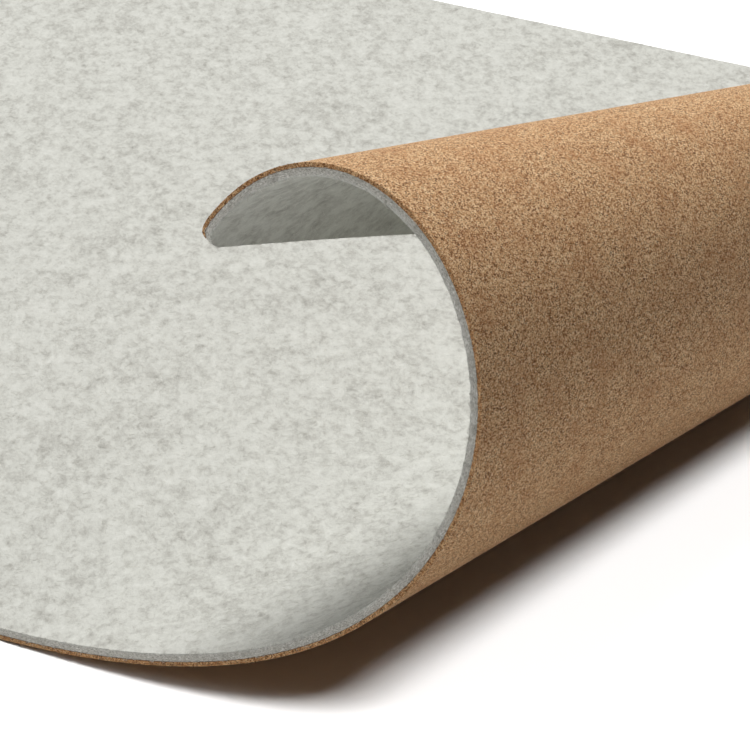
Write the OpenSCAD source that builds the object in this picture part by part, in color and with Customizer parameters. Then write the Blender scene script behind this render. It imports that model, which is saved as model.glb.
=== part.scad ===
// Desk mat: a sheet of wool felt bonded to a thin cork backing, lying flat with its right-hand
// end curled up and over. The curl is tight behind and wide in front, so it is rolled on a cone:
// every fold line of the sheet points at one apex behind the mat.
//
// Frame: +X along the mat towards the curled end, +Y towards the back, +Z up. The origin is on
// the underside, at the middle of the sheet as it lies when the curl is let out flat.

/* [Sheet] */
// Length of the mat with its curl let out flat
mat_length = 900; // [800:10:1000]
// Width of the mat, front to back
mat_width = 400; // [380:5:400]
// Radius of the four corners
corner_radius = 6.5; // [4:0.5:10]

/* [Layers] */
// Thickness of the wool felt on top
felt_thickness = 2; // [1.5:0.1:2.5]
// Thickness of the bonding film between felt and cork
film_thickness = 0.1; // [0.1:0.05:0.2]
// Thickness of the cork backing
cork_thickness = 1; // [0.8:0.1:1.2]

/* [Curl] */
// Length of front edge that is curled up
curl_length = 328; // [324:1:332]
// Apex of the fold lines: distance along the mat from the start of the curl
apex_along = 237; // [234:1:240]
// Apex of the fold lines: distance behind the front edge
apex_behind = 615; // [605:1:625]
// Bend at eight equal steps along the curled front edge, in radians per metre
bend_steps = [0, 4, 5.3, 9.7, 15, 19.7, 28.6, 18.7];
// Bend of the rest of the sheet, which is tucked inside the roll, in radians per metre
tucked_bend = 30; // [29:0.5:32]

/* [Hidden] */

// Share of the curl's length over which the bend changes to tucked_bend
tuck_share = 0.08;
// Fold lines that start on the front edge, on the rounded corner and on the free edge
front_folds = 118;
corner_folds = 6;
free_folds = 72;

// Where the sheet lies, in its own flat plan
left = -mat_length / 2;
right = mat_length / 2;
front = -mat_width / 2;
back = mat_width / 2;
curl_start = right - curl_length;
apex = [curl_start + apex_along, front + apex_behind];

// Bend per millimetre of front edge, at a distance s from the start of the curl
last_step = len(bend_steps) - 1;
bend_table = [
    for (i = [0:last_step]) [i / last_step * curl_length, bend_steps[i] / 1000],
    [(1 + tuck_share) * curl_length, tucked_bend / 1000]
];
function bend_at(s) = lookup(s, bend_table);

// Where the fold line through point p of the plan meets the front edge's line
function reach(p) = apex.x - (apex.x - p.x) * apex_behind / (apex.y - p.y) - curl_start;

// The near ends of the fold lines: along the front edge, round its corner, up the free edge
front_run = right - corner_radius - curl_start;
near_corner = [right - corner_radius, front + corner_radius];
free_run = mat_width - 2 * corner_radius;
near_ends = [
    for (i = [0:front_folds - 1]) [curl_start + i / front_folds * front_run, front],
    for (i = [0:corner_folds - 1])
        let (a = i / corner_folds * 90 - 90)
        near_corner + corner_radius * [cos(a), sin(a)],
    for (i = [0:free_folds]) [right, near_corner.y + i / free_folds * free_run]
];
folds = len(near_ends);

// The far end of the fold line from p, on the back edge or on the rounded corner behind
far_corner = [right - corner_radius, back - corner_radius];
function towards_apex(p) = (apex - p) / norm(apex - p);
function on_back_edge(p) = p + (apex - p) * (back - p.y) / (apex.y - p.y);
function on_far_corner(p) =
    let (u = towards_apex(p), q = p - far_corner, b = q * u)
    p + u * (sqrt(b * b - q * q + corner_radius * corner_radius) - b);
function far_end(p) = on_back_edge(p).x <= far_corner.x ? on_back_edge(p) : on_far_corner(p);

// Angle folded at line k: the bend there times half the way to each neighbour
reaches = [for (p = near_ends) reach(p)];
function step_at(k) = (reaches[min(k + 1, folds - 1)] - reaches[max(k - 1, 0)]) / 2;
function fold_angle(k) = bend_at(reaches[k]) * step_at(k) * 180 / PI;

// Rotation by angle a that lifts the sheet beyond the fold line along unit vector u
function lift(u, a) =
    let (c = cos(a), s = sin(a), v = 1 - c)
    [[u.x * u.x * v + c, u.x * u.y * v, -u.y * s],
     [u.x * u.y * v, u.y * u.y * v + c, u.x * s],
     [u.y * s, -u.x * s, c]];

// Rotation of the strip before each fold line, and of the strip after the last one
identity = [[1, 0, 0], [0, 1, 0], [0, 0, 1]];
turns = [
    for (k = 0, m = identity; k <= folds;
         m = k < folds ? m * lift(towards_apex(near_ends[k]), fold_angle(k)) : m, k = k + 1) m
];

// Across the sheet at fold line k, scaled so that each layer keeps its thickness in the strips
up = [0, 0, 1];
function across(k) = (turns[k] * up + turns[k + 1] * up) / (1 + cos(fold_angle(k)));

// Point p of the plan on fold line k, at height h over the top of the cork
function place(k, p, h) =
    let (m = turns[k], d = p - apex)
    [apex.x, apex.y, cork_thickness] + m * [d.x, d.y, 0] + across(k) * h;

// One bent layer, from height low to height high over the top of the cork
module bent(low, high) {
    points = [
        for (k = [0:folds - 1])
            let (p = near_ends[k], q = far_end(p))
            each [place(k, p, low), place(k, q, low), place(k, q, high), place(k, p, high)]
    ];
    last = 4 * (folds - 1);
    sides = [
        for (k = [0:folds - 2], i = [0:3])
            let (a = 4 * k + i, b = 4 * k + (i + 1) % 4)
            each [[a, b, b + 4], [a, b + 4, a + 4]]
    ];
    ends = [[0, 3, 2], [0, 2, 1], [last, last + 1, last + 2], [last, last + 2, last + 3]];
    polyhedron(points, [for (f = concat(sides, ends)) [f[2], f[1], f[0]]], convexity = 10);
}

// Outline of the part of the sheet that lies flat, up to the first fold line
module flat_outline() {
    start = near_ends[0];
    polygon([[left + corner_radius, front], start, far_end(start), [left + corner_radius, back]]);
    translate([left, front + corner_radius])
        square([corner_radius, mat_width - 2 * corner_radius]);
    for (y = [front + corner_radius, back - corner_radius])
        translate([left + corner_radius, y]) circle(corner_radius, $fn = 64);
}

// One whole layer, flat and bent
module layer(low, high) {
    translate([0, 0, cork_thickness + low]) linear_extrude(high - low) flat_outline();
    bent(low, high);
}

module cork_base() {
    color("#c29a6c") layer(-cork_thickness, 0);
}

module bond_film() {
    color("#e8e2cf") layer(0, film_thickness);
}

module felt_top() {
    color("#cfcfc8") layer(film_thickness, film_thickness + felt_thickness);
}

cork_base();
bond_film();
felt_top();
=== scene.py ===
# %% [markdown]
# # A wool felt desk mat on cork, with one end curled up and over
#
# The mat is a flat sheet: 2 mm of grey wool felt bonded to 1 mm of pressed cork. Here its
# right-hand end is lifted and rolled over, so the felt shows inside the curl and the cork
# shows outside it. The two long edges don't curl alike: the roll is wide in front and tight
# behind, which makes it part of a cone.
#
# Such a shape could be simulated as cloth or sculpted, but a sheet of felt doesn't stretch.
# So it is folded by a formula instead: every point of the flat plan is turned about the fold
# lines of a cone, and lengths along the sheet stay exactly what they were when it was cut.

import math

import bmesh
import bpy
import numpy as np
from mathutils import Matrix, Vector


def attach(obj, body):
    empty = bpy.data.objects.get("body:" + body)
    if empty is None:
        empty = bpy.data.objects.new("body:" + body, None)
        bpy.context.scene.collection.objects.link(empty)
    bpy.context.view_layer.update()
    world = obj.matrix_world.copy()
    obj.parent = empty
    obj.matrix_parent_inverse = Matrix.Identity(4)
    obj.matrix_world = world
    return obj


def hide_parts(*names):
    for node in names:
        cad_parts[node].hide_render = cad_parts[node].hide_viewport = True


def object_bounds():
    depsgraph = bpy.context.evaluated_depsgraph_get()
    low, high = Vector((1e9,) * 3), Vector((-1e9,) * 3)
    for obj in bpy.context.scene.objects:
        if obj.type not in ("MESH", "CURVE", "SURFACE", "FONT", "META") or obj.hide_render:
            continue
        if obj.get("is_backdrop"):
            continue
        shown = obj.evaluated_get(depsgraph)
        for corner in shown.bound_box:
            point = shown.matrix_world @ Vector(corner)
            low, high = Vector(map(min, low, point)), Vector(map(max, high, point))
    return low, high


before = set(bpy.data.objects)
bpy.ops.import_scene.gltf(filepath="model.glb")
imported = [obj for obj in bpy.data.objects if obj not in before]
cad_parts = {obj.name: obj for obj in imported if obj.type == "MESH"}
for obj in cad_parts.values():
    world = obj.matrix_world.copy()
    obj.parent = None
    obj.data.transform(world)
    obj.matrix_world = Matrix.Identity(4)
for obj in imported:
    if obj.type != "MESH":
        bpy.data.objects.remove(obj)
size_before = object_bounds()

MM = 0.001


def to_linear(code):
    """Turn an sRGB colour such as #c8b090 into the linear colour that shaders take."""
    parts = [int(code[i : i + 2], 16) / 255 for i in (1, 3, 5)]
    linear = [c / 12.92 if c <= 0.04045 else ((c + 0.055) / 1.055) ** 2.4 for c in parts]
    return (*linear, 1.0)


def add(tree, kind, inputs=None, **settings):
    """Add one node. inputs gives each input a value, a socket to link, or a node, of which the
    first output is linked."""
    made = tree.nodes.new(kind)
    for name, value in settings.items():
        setattr(made, name, value)
    for key, value in (inputs or {}).items():
        if isinstance(value, bpy.types.Node):
            value = value.outputs[0]
        if isinstance(value, bpy.types.NodeSocket):
            tree.links.new(value, made.inputs[key])
        else:
            made.inputs[key].default_value = value
    return made


print("box of the solids:", size_before)

# %% [markdown]
# ## How the sheet is folded
#
# A sheet that can't stretch bends along straight lines. On this curl the lines all point at one
# apex behind the mat. Each line is named by its *reach*: how far along the front edge it would
# meet that edge, measured from where the curl starts. The bend at each reach is given in
# radians per metre of front edge, from none at the start to a tight roll at the free end.
#
# Turning about one line carries everything beyond it, so the turns multiply up along the
# sheet. They are worked out once at fine steps, then looked up for every point.

# %% The cone that the sheet is rolled on
LENGTH, WIDTH, CORNER = 900 * MM, 400 * MM, 6.5 * MM
CORK, FILM, FELT = 1 * MM, 0.1 * MM, 2 * MM
FRONT = -WIDTH / 2
CURL_LENGTH = 328 * MM
CURL_START = LENGTH / 2 - CURL_LENGTH
APEX = np.array([CURL_START + 237 * MM, FRONT + 615 * MM])
BENDS = [0, 4, 5.3, 9.7, 15, 19.7, 28.6, 18.7]  # at equal steps along the curl
TUCKED_BEND = 30
TUCKED_FROM = 1.08 * CURL_LENGTH
REACH_STEP = 0.25 * MM
FURTHEST_REACH = 560 * MM

bend_places = [i / (len(BENDS) - 1) * CURL_LENGTH for i in range(len(BENDS))] + [TUCKED_FROM]
reaches = np.arange(0, FURTHEST_REACH, REACH_STEP)
bend = np.interp(reaches, bend_places, BENDS + [TUCKED_BEND])


def turns_along(reaches, bend):
    """The rotation of the sheet at every reach, each one carried on from the one before."""
    turn = np.eye(3)
    turns = [turn]
    for k in range(1, len(reaches)):
        angle = (bend[k] + bend[k - 1]) / 2 * REACH_STEP
        middle = (reaches[k] + reaches[k - 1]) / 2
        line = APEX - np.array([CURL_START + middle, FRONT])
        x, y = line / np.hypot(*line)
        c, s, v = math.cos(angle), math.sin(angle), 1 - math.cos(angle)
        turn = turn @ [
            [x * x * v + c, x * y * v, -y * s],
            [x * y * v, y * y * v + c, x * s],
            [y * s, -x * s, c],
        ]
        turns.append(turn)
    return np.array(turns)


turns = turns_along(reaches, bend)


def turns_at(plan):
    """The rotation of the sheet at each point of the plan."""
    run = (APEX[0] - plan[:, 0]) * (APEX[1] - FRONT) / (APEX[1] - plan[:, 1])
    reach = np.clip(APEX[0] - run - CURL_START, 0, reaches[-1])
    cells = [np.interp(reach, reaches, turns[:, r, c]) for r in range(3) for c in range(3)]
    return np.stack(cells, -1).reshape(-1, 3, 3)


def fold(plan, height):
    """Carry points of the flat plan, at heights over the top of the cork, onto the curl."""
    turn = turns_at(plan)
    from_apex = np.column_stack([plan - APEX, np.zeros(len(plan))])
    folded = np.einsum("nij,nj->ni", turn, from_apex) + turn[:, :, 2] * height[:, None]
    return folded + [APEX[0], APEX[1], CORK]


total_turn = math.degrees(float(np.sum(bend[reaches < CURL_LENGTH]) * REACH_STEP))
print(f"the front edge turns through {total_turn:.0f} degrees")

# %% [markdown]
# ## The flat plan
#
# The mat is a rectangle with four small round corners. It could be a filled outline, but then
# there would be no points between the edges to bend, so it is a grid instead. The grid's
# columns grow shorter inside the corners, which rounds them without a seam. Steps along the mat
# are finer where the sheet bends, and steps across it are finer near the front.


# %% Grids
def spaced(stops, steps):
    """Places from stop to stop, with each stretch cut into steps of about the given size."""
    parts = [
        np.linspace(a, b, max(2, round((b - a) / step)), endpoint=False)
        for a, b, step in zip(stops, stops[1:], steps)
    ]
    return np.concatenate([*parts, [stops[-1]]])


def plan_grid(xs, shares):
    """Points of the plan at each x, spread over the depth there, which rounds the corners."""
    inset = np.clip(np.abs(xs) - (LENGTH / 2 - CORNER), 0, CORNER)
    half = WIDTH / 2 - CORNER + np.sqrt(np.maximum(CORNER**2 - inset**2, 0))
    x = np.repeat(xs[:, None], len(shares), 1)
    return np.stack([x, half[:, None] * shares[None, :]], -1)


CORNER_STEPS = 10
FINE_FROM = 40 * MM  # the mat is built finely from this x on
FINE_BEHIND = 60 * MM  # and its rim is fine as far back as this y

corner_turn = np.linspace(0, math.pi / 2, CORNER_STEPS + 1)
corner_xs = LENGTH / 2 - CORNER + CORNER * np.sin(corner_turn)
side_end = LENGTH / 2 - CORNER
side_xs = spaced([-side_end, FINE_FROM, side_end], [6 * MM, 2 * MM])
xs = np.concatenate([-corner_xs[::-1], side_xs[1:-1], corner_xs])
HALF_WIDTH = WIDTH / 2
fine_shares = spaced([-1, 0, 1], [2.5 * MM / HALF_WIDTH, 4.5 * MM / HALF_WIDTH])
coarse_shares = spaced([-1, 1], [6 * MM / HALF_WIDTH])
print(f"grid of {len(xs)} by {len(fine_shares)} points")

# %% [markdown]
# ## Cutting a layer
#
# Each layer is one closed slab: a grid above, a grid below, and a cut face all round. A Solidify
# modifier could give a grid its thickness, but its edge would be a plain band. Here the cut face
# is built in levels, with extra points along it, because a blade leaves a felt edge slightly
# swollen and uneven, and a cork edge crumbly.
#
# Each point keeps its place on the flat sheet, in millimetres, as an attribute. The materials
# read their patterns from it, so a grain stays the same size however the sheet is rolled, and
# it runs on from the face into the cut edge as it does through a real sheet.


# %% Points of a slab
def outline_of(grid, pieces_at):
    """The outline of a grid, anticlockwise, with extra points between those of the grid, and
    which of its points lie on each side of the grid's cells."""
    nx, ny = grid.shape[:2]
    flat = grid.reshape(-1, 2)
    index = np.arange(nx * ny).reshape(nx, ny)
    loop = [*index[:-1, 0], *index[-1, :-1], *index[:0:-1, -1], *index[0, :0:-1]]
    outline, between = [], {}
    for a, b in zip(loop, loop[1:] + loop[:1]):
        count = pieces_at(flat[[a, b]])
        first = len(outline)
        outline += [flat[a] + (flat[b] - flat[a]) * k / count for k in range(count)]
        between[a, b] = range(first, first + count)
    return np.array(outline), between


def slab_points(grid, outline, low, high, rim_steps, relief, rim_shape):
    """Plan and height of every point of a slab: the cut face level by level, then the insides
    of the lower and of the upper face."""
    along = np.roll(outline, -1, 0) - np.roll(outline, 1, 0)
    outward = np.column_stack([along[:, 1], -along[:, 0]])
    outward /= np.linalg.norm(outward, axis=1)[:, None]
    inside = grid[1:-1, 1:-1].reshape(-1, 2)
    plans, heights = [], []
    for k, level in enumerate(np.linspace(low, high, rim_steps + 1)):
        body = np.column_stack([outline, np.full(len(outline), level)])
        out = rim_shape(body, k / rim_steps)
        plans.append(outline + outward * out[:, None])
        heights.append(np.full(len(outline), level))
    for level, side in ((low, -1), (high, 1)):
        body = np.column_stack([inside, np.full(len(inside), level)])
        plans.append(inside)
        heights.append(level + side * relief(body, side))
    return np.concatenate(plans), np.concatenate(heights)


# %% Faces of a slab
def slab_faces(grid, between, rim_count, rim_steps):
    """Faces of a slab: the cut face, then the lower and the upper face."""
    nx, ny = grid.shape[:2]
    index = np.arange(nx * ny).reshape(nx, ny)
    inside = index[1:-1, 1:-1].ravel()
    number_of = {v: k for k, v in enumerate(inside)}
    start_of = {a: run[0] for (a, b), run in between.items()}
    faces = []
    for k in range(rim_steps):
        for i in range(rim_count):
            j = (i + 1) % rim_count
            a = k * rim_count
            faces.append((a + i, a + j, a + j + rim_count, a + i + rim_count))
    for top in (False, True):
        rim_shift = rim_steps * rim_count if top else 0
        inside_shift = (rim_steps + 1) * rim_count + (len(inside) if top else 0)
        for i in range(nx - 1):
            for j in range(ny - 1):
                ring = [index[i, j], index[i + 1, j], index[i + 1, j + 1], index[i, j + 1]]
                face = []
                for a, b in zip(ring, ring[1:] + ring[:1]):
                    if (a, b) in between:
                        face += [rim_shift + r for r in between[a, b]]
                    elif a in number_of:
                        face.append(inside_shift + number_of[a])
                    else:
                        face.append(rim_shift + start_of[a])
                faces.append(face if top else face[::-1])
    return faces


# %% A whole slab
def slab(name, low, high, shares, rim_steps, pieces_at, relief, rim_shape):
    """Build a layer from height low to high. relief(points, side) moves its faces out and
    rim_shape(points, share) moves its cut face out, in metres, and pieces_at(ends) is how many
    pieces of rim there are to a grid step."""
    grid = plan_grid(xs, shares)
    outline, between = outline_of(grid, pieces_at)
    plan, height = slab_points(grid, outline, low, high, rim_steps, relief, rim_shape)
    faces = slab_faces(grid, between, len(outline), rim_steps)
    mesh = bpy.data.meshes.new(name)
    mesh.from_pydata(fold(plan, height), [], faces)
    place = mesh.attributes.new("sheet_mm", "FLOAT_VECTOR", "POINT")
    place.data.foreach_set("vector", (np.column_stack([plan, height]) / MM).ravel())
    cut = mesh.attributes.new("cut", "FLOAT", "FACE")
    cut_value = np.zeros(len(faces))
    cut_value[: rim_steps * len(outline)] = 1
    cut.data.foreach_set("value", cut_value)
    mesh.shade_smooth()
    mesh.set_sharp_from_angle(angle=math.radians(35))
    mesh.update()
    piece = bpy.data.objects.new(name, mesh)
    bpy.context.scene.collection.objects.link(piece)
    mesh.calc_loop_triangles()
    print(f"{name}: {len(mesh.loop_triangles)} triangles")
    return piece


# %% [markdown]
# ## The three sheets
#
# Needled felt is a little lumpy, and where a blade has pinched it at both faces, the middle of
# the cut swells out again. Sanded cork is nearly flat, but grains break out of its cut edge.
# The film between them is a tenth of a millimetre thick and only shows as a line. The unevenness
# could come from a Displace modifier with a noise texture. A sum of plain waves does the same
# here, while the points are still flat, and works in millimetres.

# %% Felt, cork and film sheets
WAVES = 24


def smooth_noise(points, wavelength, seed):
    """Gentle noise from -1 to 1: a sum of waves in many directions, of about one wavelength."""
    pick = np.random.default_rng(seed)
    total = np.zeros(len(points))
    for _ in range(WAVES):
        direction = pick.normal(size=points.shape[1])
        direction /= np.linalg.norm(direction)
        rate = 2 * math.pi / (wavelength * pick.uniform(0.7, 1.5))
        total += np.sin(points @ direction * rate + pick.uniform(0, 2 * math.pi))
    return total / WAVES**0.5


def near_curl(ends):
    """Four pieces of rim to a grid step where it is fine, and one elsewhere."""
    x, y = ends.mean(0)
    return 4 if x > FINE_FROM and y < FINE_BEHIND else 1


def felt_relief(points, side):
    """Needled felt is never quite flat: it is lumpy over a few millimetres."""
    if side < 0:
        return np.zeros(len(points))
    broad = 0.03 * MM * smooth_noise(points, 7 * MM, 1)
    return broad + 0.02 * MM * smooth_noise(points, 4.5 * MM, 2)


def felt_rim(points, share):
    """The cut is pinched at both faces, swollen between them, and ragged."""
    swell = 0.16 * math.sin(math.pi * share) - 0.16
    ragged = 0.06 * smooth_noise(points, 1.6 * MM, 3) + 0.05 * smooth_noise(points, 4 * MM, 4)
    return (swell + ragged * (0.4 + share)) * MM


def cork_relief(points, side):
    """Low places in the sanded underside, where coarse grains lie."""
    if side > 0:
        return np.zeros(len(points))
    return 0.012 * MM * smooth_noise(points, 6 * MM, 5)


def cork_rim(points, share):
    """A crumbly cut that wanders by a fraction of a millimetre."""
    crumbly = 0.07 * smooth_noise(points, 1.3 * MM, 6) + 0.04 * smooth_noise(points, 3 * MM, 7)
    return crumbly * MM


felt = slab(
    "felt_sheet", FILM, FILM + FELT, fine_shares, 6, near_curl, felt_relief, felt_rim
)
cork = slab("cork_sheet", -CORK, 0, fine_shares, 3, near_curl, cork_relief, cork_rim)
film = slab(
    "bonding_film",
    0,
    FILM,
    coarse_shares,
    1,
    lambda ends: 1,
    lambda points, side: np.zeros(len(points)),
    lambda points, share: np.full(len(points), -0.1 * MM),
)

# %% [markdown]
# ## Wool felt
#
# The felt is pressed from white and grey wool that is only partly blended. From near by it
# reads as pale wool with soft grey clouds a few millimetres wide, broken up by single darker
# fibres that wander in every direction. Its surface scatters light evenly, with a faint bloom
# from the loose fibre ends, and it has no gloss.
#
# A scan of real felt would repeat over a sheet this size, and hair all over it would be heavy.
# So the clouds are noise at three sizes. The fibres are noise that is stretched along one
# direction and bent by a second noise; three directions are laid over each other. On the cut
# face less light gets out between the ends of the fibres, so it is made greyer with painted
# shade; near the top, where the rim catches light as the face does, painted light turns it back
# to pale wool in a ragged line.


# %% Helpers for materials
def new_material(name):
    material = bpy.data.materials.new(name)
    material.use_nodes = True
    tree = material.node_tree
    tree.nodes.clear()
    return material, tree


def set_stops(ramp, stops):
    """Give a colour ramp its stops, each a position and a colour."""
    first, *between, last = stops
    for element, (position, code) in zip(ramp.elements, (first, last)):
        element.position = position
        element.color = to_linear(code)
    for position, code in between:
        ramp.elements.new(position).color = to_linear(code)


# %% Felt: clouds
felt_wool, tree = new_material("Grey wool felt")
place = add(tree, "ShaderNodeAttribute", attribute_name="sheet_mm").outputs["Vector"]
cut_face = add(tree, "ShaderNodeAttribute", attribute_name="cut").outputs["Fac"]

# Clouds, from broad to small, drawn out aslant across the mat, as the carded wool was laid.
# Scales are per millimetre.
aslant = add(
    tree,
    "ShaderNodeVectorRotate",
    {"Vector": place, "Angle": math.radians(-37)},
    rotation_type="Z_AXIS",
)
laid = add(tree, "ShaderNodeVectorMath", {0: aslant, 1: (1.25, 0.8, 1.0)}, operation="MULTIPLY")
broad = add(tree, "ShaderNodeTexNoise", {"Vector": place, "Scale": 0.035, "Detail": 2.0})
clouds = add(
    tree,
    "ShaderNodeTexNoise",
    {"Vector": laid, "Scale": 0.25, "Detail": 5.0, "Roughness": 0.65, "Distortion": 0.3},
)
tufts = add(
    tree,
    "ShaderNodeTexNoise",
    {"Vector": laid, "Scale": 0.6, "Detail": 4.0, "Roughness": 0.6, "Distortion": 0.8},
)

# %% Felt: single fibres
# They lie in three directions, each with its angle, and its width and length in millimetres.
wander = add(tree, "ShaderNodeTexNoise", {"Vector": place, "Scale": 0.35, "Detail": 2.0})
wander = add(
    tree,
    "ShaderNodeVectorMath",
    {0: wander.outputs["Color"], 1: (5.0, 5.0, 5.0)},
    operation="MULTIPLY",
)
darkest, lightest = 1.0, 0.0
for angle, width, length in ((20, 0.28, 2.6), (80, 0.24, 2.2), (140, 0.30, 3.0)):
    turned = add(
        tree,
        "ShaderNodeVectorRotate",
        {"Vector": place, "Angle": math.radians(angle)},
        rotation_type="Z_AXIS",
    )
    bent = add(tree, "ShaderNodeVectorMath", {0: turned, 1: wander}, operation="ADD")
    drawn_out = add(
        tree,
        "ShaderNodeVectorMath",
        {0: bent, 1: (1 / length, 1 / width, 1 / width)},
        operation="MULTIPLY",
    )
    streaks = add(
        tree,
        "ShaderNodeTexNoise",
        {"Vector": drawn_out, "Scale": 1.0, "Detail": 1.0, "Roughness": 0.5},
    )
    darkest = add(tree, "ShaderNodeMath", {0: darkest, 1: streaks}, operation="MINIMUM")
    lightest = add(tree, "ShaderNodeMath", {0: lightest, 1: streaks}, operation="MAXIMUM")
fibres = add(tree, "ShaderNodeMath", {0: darkest, 1: lightest}, operation="ADD")

# How pale the wool is at each point
pale = -0.365
for pattern, weight in ((tufts, 0.42), (clouds, 0.85), (fibres, 0.16), (broad, 0.18)):
    pale = add(
        tree, "ShaderNodeMath", {0: pattern, 1: weight, 2: pale}, operation="MULTIPLY_ADD"
    )
wool = add(tree, "ShaderNodeValToRGB", {0: pale})
set_stops(
    wool.color_ramp,
    ((0.15, "#85827a"), (0.4, "#bcbbb3"), (0.55, "#d0d0c8"), (0.85, "#e4e4dd")),
)

# %% Felt: cut face
# It shows fibre ends in flat layers, made greyer with painted shade. Heights are in millimetres over
# the top of the cork.
squashed = add(
    tree, "ShaderNodeVectorMath", {0: place, 1: (1.5, 1.5, 4.0)}, operation="MULTIPLY"
)
layers = add(tree, "ShaderNodeTexNoise", {"Vector": squashed, "Scale": 1.0, "Detail": 3.0})
layers = add(tree, "ShaderNodeMapRange", {0: layers, 1: 0.3, 2: 0.7})
shaded_cut_layers = add(
    tree,
    "ShaderNodeMix",
    {"Factor": layers, 6: to_linear("#9d998c"), 7: to_linear("#f8f6ef")},
    data_type="RGBA",
).outputs[2]
height = add(tree, "ShaderNodeSeparateXYZ", {0: place}).outputs[2]
ragged = add(
    tree, "ShaderNodeMath", {0: fibres, 1: 1.6, 2: height}, operation="MULTIPLY_ADD"
)
below_lit_rim = add(tree, "ShaderNodeMapRange", {0: ragged, 1: 3.1, 2: 3.8, 3: 1.0, 4: 0.0})
# The cut face gets painted shade below a ragged line near its top; above it, painted light keeps it as
# pale as the lit face.
painted_cut_shade = add(tree, "ShaderNodeMath", {0: cut_face, 1: below_lit_rim}, operation="MULTIPLY")
colour = add(
    tree, "ShaderNodeMix", {"Factor": painted_cut_shade, 6: wool, 7: shaded_cut_layers}, data_type="RGBA"
).outputs[2]

# %% Felt: surface
lumps = add(tree, "ShaderNodeMath", {0: fibres, 1: 0.7, 2: tufts}, operation="MULTIPLY_ADD")
bump = add(tree, "ShaderNodeBump", {"Strength": 0.3, "Distance": 0.35 * MM, "Height": lumps})
shader = add(
    tree,
    "ShaderNodeBsdfPrincipled",
    {
        "Base Color": colour,
        "Roughness": 0.95,
        "Specular IOR Level": 0.08,
        "Sheen Weight": 0.12,
        "Sheen Roughness": 0.6,
        "Normal": bump,
    },
)
add(tree, "ShaderNodeOutputMaterial", {"Surface": shader})
felt.data.materials.append(felt_wool)
print(f"{felt_wool.name}: {len(tree.nodes)} nodes")

# %% [markdown]
# ## Pressed cork
#
# The backing is fine ground cork bound with a little resin, pressed and sanded matt. Its grains
# are a quarter to a third of a millimetre across. Each has its own brown, the seams between them
# are darker, and here and there a grain has dropped out and left a pit, darkened with painted
# shade for the shadow in its hollow, or a piece of bark shows red-brown. The cut face shows the
# same grains from the side.
#
# The grains could be thousands of small shapes, but sanded cork is flat, so colour and a little
# bump are enough. Voronoi cells with jittered walls give the grains, and each cell's own random
# colour gives its tone.

# %% Cork: grains
cork_board, tree = new_material("Pressed cork")
place = add(tree, "ShaderNodeAttribute", attribute_name="sheet_mm").outputs["Vector"]
cut_face = add(tree, "ShaderNodeAttribute", attribute_name="cut").outputs["Fac"]
pressed = add(
    tree, "ShaderNodeVectorMath", {0: place, 1: (1.2, 0.8, 1.0)}, operation="MULTIPLY"
)
jitter = add(tree, "ShaderNodeTexNoise", {"Vector": pressed, "Scale": 1.6, "Detail": 2.0})
jittered = add(
    tree,
    "ShaderNodeVectorMath",
    {0: jitter.outputs["Color"], 1: (0.4, 0.4, 0.4), 2: pressed},
    operation="MULTIPLY_ADD",
)
# Cells and noise, with scales per millimetre
grains = add(tree, "ShaderNodeTexVoronoi", {"Vector": jittered, "Scale": 3.5})
coarse = add(tree, "ShaderNodeTexVoronoi", {"Vector": jittered, "Scale": 1.5})
pits = add(tree, "ShaderNodeTexVoronoi", {"Vector": jittered, "Scale": 0.42})
bark = add(tree, "ShaderNodeTexNoise", {"Vector": place, "Scale": 0.09, "Detail": 3.0})
dust = add(tree, "ShaderNodeTexNoise", {"Vector": place, "Scale": 4.0, "Detail": 3.0})
grain_shade = add(tree, "ShaderNodeSeparateColor", {0: grains.outputs["Color"]}).outputs[0]
coarse_shade = add(tree, "ShaderNodeSeparateColor", {0: coarse.outputs["Color"]}).outputs[1]
pit_shade = add(tree, "ShaderNodeSeparateColor", {0: pits.outputs["Color"]}).outputs[2]

# The tone falls with the distance from a grain's middle, which darkens the seams
tone = -0.11
for pattern, weight in ((grain_shade, 1.0), (coarse_shade, 0.08), (dust, 0.30), (grains, -0.25)):
    tone = add(
        tree, "ShaderNodeMath", {0: pattern, 1: weight, 2: tone}, operation="MULTIPLY_ADD"
    )
browns = add(tree, "ShaderNodeValToRGB", {0: tone})
set_stops(
    browns.color_ramp,
    ((0.0, "#6b4526"), (0.25, "#b98558"), (0.5, "#d3a677"), (0.95, "#f6d9ae")),
)
reddish = add(tree, "ShaderNodeMapRange", {0: bark, 1: 0.45, 2: 0.75, 3: 0.0, 4: 0.35})
colour = add(
    tree,
    "ShaderNodeMix",
    {"Factor": reddish, 6: browns, 7: to_linear("#b97f52")},
    data_type="RGBA",
).outputs[2]

# %% Cork: pits, cut face and surface
# Each pit has its own size.
pit_size = add(tree, "ShaderNodeMath", {0: pit_shade, 1: 0.16}, operation="MULTIPLY")
in_pit = add(tree, "ShaderNodeMath", {0: pits, 1: pit_size}, operation="LESS_THAN")
# Pits are darkened with painted shade, standing for the shadow in the hollow of a lost grain.
pit_painted_shade = add(tree, "ShaderNodeMath", {0: in_pit, 1: 0.75}, operation="MULTIPLY")
colour = add(
    tree,
    "ShaderNodeMix",
    {"Factor": pit_painted_shade, 6: colour, 7: to_linear("#4a3220")},
    data_type="RGBA",
).outputs[2]

# The cut face is a shade duller
colour = add(
    tree,
    "ShaderNodeMix",
    {"Factor": cut_face, 6: colour, 7: to_linear("#fbf4ea")},
    data_type="RGBA",
    blend_type="MULTIPLY",
).outputs[2]

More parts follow.
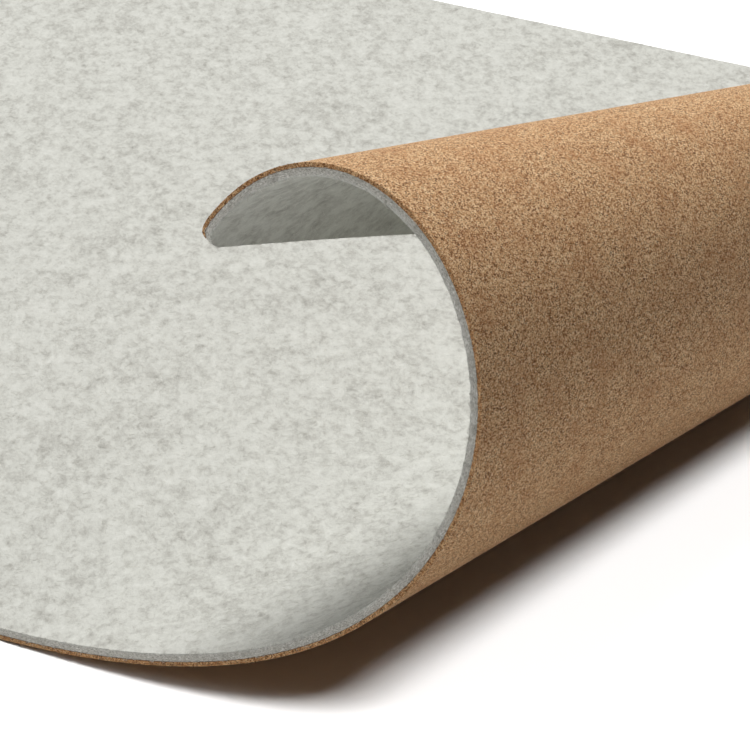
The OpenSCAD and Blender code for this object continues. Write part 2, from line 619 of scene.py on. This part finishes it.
raised = add(tree, "ShaderNodeMath", {0: tone, 1: 1.2}, operation="MULTIPLY")
raised = add(tree, "ShaderNodeMath", {0: raised, 1: in_pit}, operation="SUBTRACT")
bump = add(tree, "ShaderNodeBump", {"Strength": 0.6, "Distance": 0.2 * MM, "Height": raised})
shader = add(
    tree,
    "ShaderNodeBsdfPrincipled",
    {"Base Color": colour, "Roughness": 0.82, "Specular IOR Level": 0.25, "Normal": bump},
)
add(tree, "ShaderNodeOutputMaterial", {"Surface": shader})
cork.data.materials.append(cork_board)
print(f"{cork_board.name}: {len(tree.nodes)} nodes")

# %% [markdown]
# ## Bonding film
#
# A web of hot-melt adhesive, ironed between felt and cork until it flows, and satin once cold.
# All that shows is a thin dull line in the cut edge, set back a little because the blade drags
# it; its dark brown is painted shade for the narrow groove this leaves between the sheets, over
# the adhesive's own dull tone. It could be left out, but then the two sheets would meet in a
# perfect line that nothing explains.

# %% Film material
adhesive, tree = new_material("Melted adhesive web in painted shade")
place = add(tree, "ShaderNodeAttribute", attribute_name="sheet_mm").outputs["Vector"]
patches = add(tree, "ShaderNodeTexNoise", {"Vector": place, "Scale": 0.8, "Detail": 3.0})
# Both browns are painted shade for the set-back groove between felt and cork, over the adhesive's own
# dull tone.
tint = add(
    tree,
    "ShaderNodeMix",
    {"Factor": patches, 6: to_linear("#8d7a66"), 7: to_linear("#5f4c3c")},
    data_type="RGBA",
).outputs[2]
shader = add(tree, "ShaderNodeBsdfPrincipled", {"Base Color": tint, "Roughness": 0.6})
add(tree, "ShaderNodeOutputMaterial", {"Surface": shader})
film.data.materials.append(adhesive)
print(f"{adhesive.name}: {len(tree.nodes)} nodes")

# %% [markdown]
# ## Where fibres and crumbs lie
#
# Real felt is fringed with single fibres that stand a little off the face and out of the cut,
# and a cork edge sheds crumbs. They are only worth building where the mat is seen from near by,
# so each kind gets a copy of part of a sheet to be scattered on. A painted mask could limit
# them too, but a smaller mesh is simpler and quicker.


# %% Patches to scatter on
def patch(name, source, keep):
    """Copy the faces of source for which keep(place, cut) holds, as a mesh to scatter on."""
    mesh = source.data.copy()
    places = np.empty(len(mesh.vertices) * 3)
    mesh.attributes["sheet_mm"].data.foreach_get("vector", places)
    places = places.reshape(-1, 3)
    cuts = np.empty(len(mesh.polygons))
    mesh.attributes["cut"].data.foreach_get("value", cuts)
    edit = bmesh.new()
    edit.from_mesh(mesh)
    edit.faces.ensure_lookup_table()
    gone = []
    for face in edit.faces:
        middle = places[[v.index for v in face.verts]].mean(0)
        if not keep(middle, cuts[face.index]):
            gone.append(face)
    bmesh.ops.delete(edit, geom=gone, context="FACES")
    edit.to_mesh(mesh)
    edit.free()
    mesh.name = name
    print(f"{name}: {len(mesh.polygons)} faces")
    return mesh


# Places are in millimetres on the flat sheet, so these keep the front right part of it.
felt_face = patch(
    "Felt face patch",
    felt,
    lambda p, cut: not cut and p[2] > 1.2 and -20 < p[0] and p[1] < -30,
)
felt_cut = patch("Felt cut patch", felt, lambda p, cut: cut and p[0] > 30 and p[1] < 60)
cork_cut = patch("Cork cut patch", cork, lambda p, cut: cut and p[0] > 30 and p[1] < 60)

# %% [markdown]
# ## Loose fibres
#
# A fibre end is a hair of wool a millimetre or two long, bent once or twice. A hair system could
# grow them, but the exported model needs real meshes. Geometry Nodes scatter one short curve
# over the patch, turn it at random about the surface's own direction, bend every copy its own
# way with noise, and sweep a three-sided section along it. Real fibres are 0.03 mm thick; these
# are two to three times that, so that they show.


# %% Fibre tree
def fibres_over(group, source):
    """Short bent fibres that lie nearly flat on the sheet or stand out of it."""
    points = add(
        group,
        "GeometryNodeDistributePointsOnFaces",
        {"Mesh": source["Sheet"], "Density": source["Density"], "Seed": source["Seed"]},
        distribute_method="RANDOM",
    )
    fibre = add(
        group,
        "GeometryNodeCurveQuadraticBezier",
        {"Resolution": 5, "Start": (-0.5, 0, -0.02), "Middle": (0, 0.22, 0.14), "End": (0.5, 0, 0.02)},
    )
    spin = add(
        group,
        "FunctionNodeRandomValue",
        {0: (-0.35, -0.35, 0.0), 1: (0.35, 0.35, 6.283), "Seed": source["Seed"]},
        data_type="FLOAT_VECTOR",
    )
    turned = add(
        group,
        "FunctionNodeRotateEuler",
        {0: points.outputs["Rotation"], 1: spin},
        rotation_type="EULER",
        space="LOCAL",
    )
    lengths = add(
        group,
        "FunctionNodeRandomValue",
        {2: source["Shortest"], 3: source["Longest"], "Seed": source["Seed"]},
        data_type="FLOAT",
    )
    placed = add(
        group,
        "GeometryNodeInstanceOnPoints",
        {"Points": points, "Instance": fibre, "Rotation": turned, "Scale": lengths.outputs[1]},
    )
    real = add(group, "GeometryNodeRealizeInstances", {0: placed})
    where = add(group, "GeometryNodeInputPosition")
    wiggle = add(group, "ShaderNodeTexNoise", {"Vector": where, "Scale": 0.9 / MM, "Detail": 0.0})
    centred = add(
        group,
        "ShaderNodeVectorMath",
        {0: wiggle.outputs["Color"], 1: (0.5, 0.5, 0.5)},
        operation="SUBTRACT",
    )
    shift = add(
        group, "ShaderNodeVectorMath", {0: centred, "Scale": source["Wander"]}, operation="SCALE"
    )
    bent = add(group, "GeometryNodeSetPosition", {0: real, "Offset": shift})
    section = add(
        group, "GeometryNodeCurvePrimitiveCircle", {"Resolution": 3, "Radius": source["Radius"]}
    )
    return add(
        group,
        "GeometryNodeCurveToMesh",
        {"Curve": bent, "Profile Curve": section, "Fill Caps": True},
    )


# %% Running a tree over a patch
def scatter(name, mesh, material, build, values):
    """Run a Geometry Nodes group made by build over mesh, and keep the result as a mesh."""
    group = bpy.data.node_groups.new(name, "GeometryNodeTree")
    group.interface.new_socket("Sheet", in_out="INPUT", socket_type="NodeSocketGeometry")
    for label, value in values.items():
        kind = "NodeSocketInt" if isinstance(value, int) else "NodeSocketFloat"
        group.interface.new_socket(label, in_out="INPUT", socket_type=kind)
    group.interface.new_socket("Pieces", in_out="OUTPUT", socket_type="NodeSocketGeometry")
    source = add(group, "NodeGroupInput").outputs
    real = add(group, "GeometryNodeRealizeInstances", {0: build(group, source)})
    coated = add(group, "GeometryNodeSetMaterial", {"Geometry": real, "Material": material})
    add(group, "NodeGroupOutput", {0: coated})
    piece = bpy.data.objects.new(name, mesh)
    bpy.context.scene.collection.objects.link(piece)
    modifier = piece.modifiers.new(name, "NODES")
    modifier.node_group = group
    sockets = {s.name: s.identifier for s in group.interface.items_tree if s.in_out == "INPUT"}
    for label, value in values.items():
        modifier[sockets[label]] = value
    piece.update_tag()
    view = bpy.context.evaluated_depsgraph_get()
    result = bpy.data.meshes.new_from_object(piece.evaluated_get(view))
    piece.modifiers.remove(modifier)
    piece.data = result
    result.name = name
    result.calc_loop_triangles()
    print(f"{name}: {len(result.loop_triangles)} triangles")
    return piece


# %% [markdown]
# White and grey wool hairs are both in the felt. A soft noise over the object's own coordinates
# gives each fibre one tone or the other. Wool has a slight gloss and a bloom along its scales.

# %% Fibres on the face and along the cut
loose_wool, tree = new_material("Loose wool fibre")
where = add(tree, "ShaderNodeTexCoord").outputs["Object"]
blend = add(tree, "ShaderNodeTexNoise", {"Vector": where, "Scale": 0.4 / MM, "Detail": 1.0})
tint = add(
    tree,
    "ShaderNodeMix",
    {"Factor": blend, 6: to_linear("#cfccc2"), 7: to_linear("#fbf9f2")},
    data_type="RGBA",
).outputs[2]
shader = add(
    tree,
    "ShaderNodeBsdfPrincipled",
    {"Base Color": tint, "Roughness": 0.7, "Specular IOR Level": 0.2, "Sheen Weight": 0.2},
)
add(tree, "ShaderNodeOutputMaterial", {"Surface": shader})

# Densities are fibres to the square metre.
face_fuzz = scatter(
    "face_fibres",
    felt_face,
    loose_wool,
    fibres_over,
    {
        "Density": 70000.0,
        "Seed": 3,
        "Shortest": 1.2 * MM,
        "Longest": 3.2 * MM,
        "Wander": 1.2 * MM,
        "Radius": 0.030 * MM,
    },
)
edge_fuzz = scatter(
    "edge_fibres",
    felt_cut,
    loose_wool,
    fibres_over,
    {
        "Density": 2600000.0,
        "Seed": 5,
        "Shortest": 0.7 * MM,
        "Longest": 2.2 * MM,
        "Wander": 1.2 * MM,
        "Radius": 0.042 * MM,
    },
)

# %% [markdown]
# ## Cork crumbs
#
# Where the blade has torn grains instead of cutting them, they stick out of the edge. Each crumb
# is a small ball pushed out of shape by noise, squashed and turned its own way, and half sunk
# in the cut face. They could be modelled one by one, but hundreds are needed. Torn cork is matt,
# and runs from dark brown skin to pale tan insides.


# %% Crumb tree
def crumbs_over(group, source):
    """Grains of cork that stick out of the edge, each squashed and turned its own way."""
    points = add(
        group,
        "GeometryNodeDistributePointsOnFaces",
        {"Mesh": source["Sheet"], "Density": source["Density"], "Seed": source["Seed"]},
        distribute_method="RANDOM",
    )
    grain = add(group, "GeometryNodeMeshIcoSphere", {"Radius": 0.5, "Subdivisions": 2})
    where = add(group, "GeometryNodeInputPosition")
    lumps = add(group, "ShaderNodeTexNoise", {"Vector": where, "Scale": 2.2, "Detail": 1.0})
    centred = add(
        group,
        "ShaderNodeVectorMath",
        {0: lumps.outputs["Color"], 1: (0.5, 0.5, 0.5)},
        operation="SUBTRACT",
    )
    lumpy = add(group, "GeometryNodeSetPosition", {0: grain, "Offset": centred})
    spin = add(
        group,
        "FunctionNodeRandomValue",
        {0: (0.0, 0.0, 0.0), 1: (6.283, 6.283, 6.283), "Seed": source["Seed"]},
        data_type="FLOAT_VECTOR",
    )
    sizes = add(
        group,
        "FunctionNodeRandomValue",
        {2: source["Smallest"], 3: source["Largest"], "Seed": source["Seed"]},
        data_type="FLOAT",
    )
    squash = add(
        group,
        "ShaderNodeVectorMath",
        {0: (1.0, 0.8, 0.6), "Scale": sizes.outputs[1]},
        operation="SCALE",
    )
    return add(
        group,
        "GeometryNodeInstanceOnPoints",
        {"Points": points, "Instance": lumpy, "Rotation": spin, "Scale": squash},
    )


# %% Crumbs along the cork's cut
cork_crumb, tree = new_material("Cork crumb")
where = add(tree, "ShaderNodeTexCoord").outputs["Object"]
blend = add(tree, "ShaderNodeTexNoise", {"Vector": where, "Scale": 1.5 / MM, "Detail": 2.0})
browns = add(tree, "ShaderNodeValToRGB", {0: blend})
set_stops(browns.color_ramp, ((0.35, "#6f4f33"), (0.7, "#e2bb8d")))
shader = add(
    tree,
    "ShaderNodeBsdfPrincipled",
    {"Base Color": browns, "Roughness": 0.85, "Specular IOR Level": 0.2},
)
add(tree, "ShaderNodeOutputMaterial", {"Surface": shader})

crumbs = scatter(
    "cork_crumbs",
    cork_cut,
    cork_crumb,
    crumbs_over,
    {"Density": 2600000.0, "Seed": 9, "Smallest": 0.18 * MM, "Largest": 0.45 * MM},
)

# %% [markdown]
# ## In the shared frame
#
# Every piece rides on the mat's one body. The three sheets stand in for the three plain solids,
# and each is declared as a sheet with the size that it was cut to.

# %% Attach every piece to the body and hide the plain solids
for piece, slot in (
    (cork, "cork"),
    (film, "adhesive"),
    (felt, "felt"),
    (face_fuzz, "felt"),
    (edge_fuzz, "felt"),
    (crumbs, "cork"),
):
    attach(piece, "root")
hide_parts("cork_base")
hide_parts("bond_film")
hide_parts("felt_top")

# %% [markdown]
# ## Light and camera
#
# A big soft light stands high behind the mat and lights the felt evenly, right into the curl,
# while the cork on the far side of the roll is lit mostly by what comes back off the white
# floor. A weaker one in front on the left opens up the cut edges. A third only brightens the
# floor in front of the roll, as a flagged backdrop light does, so that the floor stays white up
# to a soft dark shadow under the roll. One sky-like backdrop could light it all, but then
# nothing would shape the curl.


# %% Floor and lights
def stage_light(name, target, azimuth, elevation, distance, size, power):
    """A square soft light, aimed at target from a compass direction (0 is +X) and elevation."""
    data = bpy.data.lights.new(name, "AREA")
    data.size = size
    data.energy = power
    light = bpy.data.objects.new(name, data)
    bpy.context.scene.collection.objects.link(light)
    a, e = math.radians(azimuth), math.radians(elevation)
    back = np.array([math.cos(e) * math.cos(a), math.cos(e) * math.sin(a), math.sin(e)])
    light.location = np.array(target) + back * distance
    light.rotation_euler = (math.pi / 2 - e, 0, a + math.pi / 2)
    return light


HALF_FLOOR = 4.0
FLOOR_GAP = 0.02 * MM
floor_corners = [
    (x * HALF_FLOOR, y * HALF_FLOOR, 0) for x, y in ((-1, -1), (1, -1), (1, 1), (-1, 1))
]
floor_mesh = bpy.data.meshes.new("Floor")
floor_mesh.from_pydata(floor_corners, [], [(0, 1, 2, 3)])
floor = bpy.data.objects.new("floor", floor_mesh)
floor.location = (0, 0, -FLOOR_GAP)
bpy.context.scene.collection.objects.link(floor)
# Matt paint scatters light evenly, so the mat doesn't mirror in it.
pale_paint, tree = new_material("Pale matt paint")
shader = add(
    tree,
    "ShaderNodeBsdfPrincipled",
    {"Base Color": to_linear("#f6f6f6"), "Roughness": 0.9, "Specular IOR Level": 0.1},
)
add(tree, "ShaderNodeOutputMaterial", {"Surface": shader})
floor_mesh.materials.append(pale_paint)
floor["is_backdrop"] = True

LIT_POINT = (0.2, -0.15, 0.03)
LIGHT_DISTANCE = 2.4
stage_light("Key", LIT_POINT, 112, 63, LIGHT_DISTANCE, 1.4, 59)
stage_light("Front fill", LIT_POINT, 235, 45, LIGHT_DISTANCE, 1.2, 14.5)
sweep = stage_light("Floor light", LIT_POINT, 322, 55.5, LIGHT_DISTANCE, 0.5, 72)
sweep.data.cycles.max_bounces = 0
only_floor = bpy.data.collections.new("Lit by the floor light")
only_floor.objects.link(floor)
sweep.light_linking.receiver_collection = only_floor

world = bpy.data.worlds.new("Dim studio")
world.use_nodes = True
background = world.node_tree.nodes["Background"].inputs
background["Color"].default_value = to_linear("#f4f6ff")
background["Strength"].default_value = 0.02
bpy.context.scene.world = world
bpy.context.scene.view_settings.view_transform = "Standard"
print("three soft lights and a dim surrounding")

# %% Camera
camera_data = bpy.data.cameras.new("Camera")
camera_data.lens = 155
camera_data.sensor_width = 36
camera_data.clip_start = 0.05
camera = bpy.data.objects.new("Camera", camera_data)
camera.location = (0.5808, -0.7144, 0.4331)
camera.rotation_euler = [math.radians(a) for a in (61.21, 0.789, 30.724)]
bpy.context.scene.collection.objects.link(camera)
bpy.context.scene.camera = camera
print("camera at", tuple(round(c, 3) for c in camera.location))

# %% [markdown]
# ## Measure
#
# The box of the plain solids and the box of the finished model are written side by side, because
# the finish must not change the size.

# %% Measure
size_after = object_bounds()


def plain(value):
    """Turn arrays and tuples into lists, so that they can be written as JSON."""
    if hasattr(value, "__len__"):
        return [plain(v) for v in value]
    return float(value)


{"before": plain(size_before), "after": plain(size_after)}
print("box of the finished model:", size_after)
